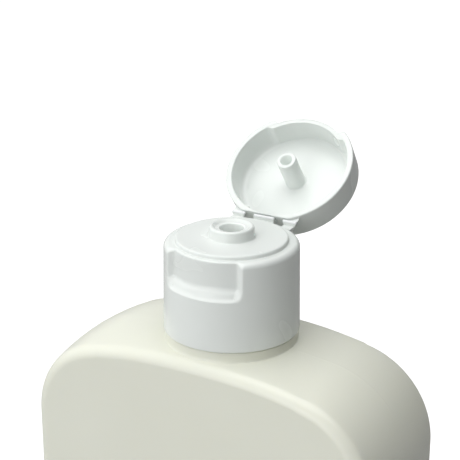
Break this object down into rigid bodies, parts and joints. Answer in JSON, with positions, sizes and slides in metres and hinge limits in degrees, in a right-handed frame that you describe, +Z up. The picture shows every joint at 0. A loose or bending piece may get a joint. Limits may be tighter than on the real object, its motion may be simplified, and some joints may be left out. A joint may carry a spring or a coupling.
{
  "type": "lotion bottle",
  "caption": "Upright oblong lotion bottle with rounded shoulders and a screw-on flip-top closure whose hinged lid carries a stopper tube for the spout.",
  "frame": {"origin": "centre of the standing ring under the bottle, on the plane that it stands on", "axes": "+Z up along the neck; the front of the bottle and the thumb recess face -Y; the lid's hinge is at +Y; +X is to the right seen from the front"},
  "size_m": [0.0886, 0.0595, 0.18],
  "materials": {
    "bottle_plastic": "satin, warm white blown polyethylene",
    "closure_plastic": "smooth, cool white moulded polypropylene",
    "ring_foam": "matte, closed-cell foam sheet"
  },
  "bodies": {
    "bottle": {"bottle": "bottle_plastic"},
    "ring": {"sealing_ring": "ring_foam"},
    "closure": {"closure": "closure_plastic"},
    "lid": {"lid": "closure_plastic"}
  },
  "joints": [
    {"name": "cap_rise", "type": "slide", "parent": "bottle", "child": "ring", "axis": [0, 0, 1], "range_m": [0, 0.0048]},
    {"name": "cap_turn", "type": "hinge", "parent": "ring", "child": "closure", "pos_m": [0, 0, 0.162], "axis": [0, 0, 1], "range_deg": [0, 540]},
    {"name": "lid_hinge", "type": "hinge", "parent": "closure", "child": "lid", "pos_m": [0, 0.01458, 0.1627], "axis": [1, 0, 0], "range_deg": [-30, 143.3]}
  ],
  "couplings": [
    {"joint": "cap_rise", "follows": "cap_turn", "m_per_rad": 0.00050532}
  ]
}
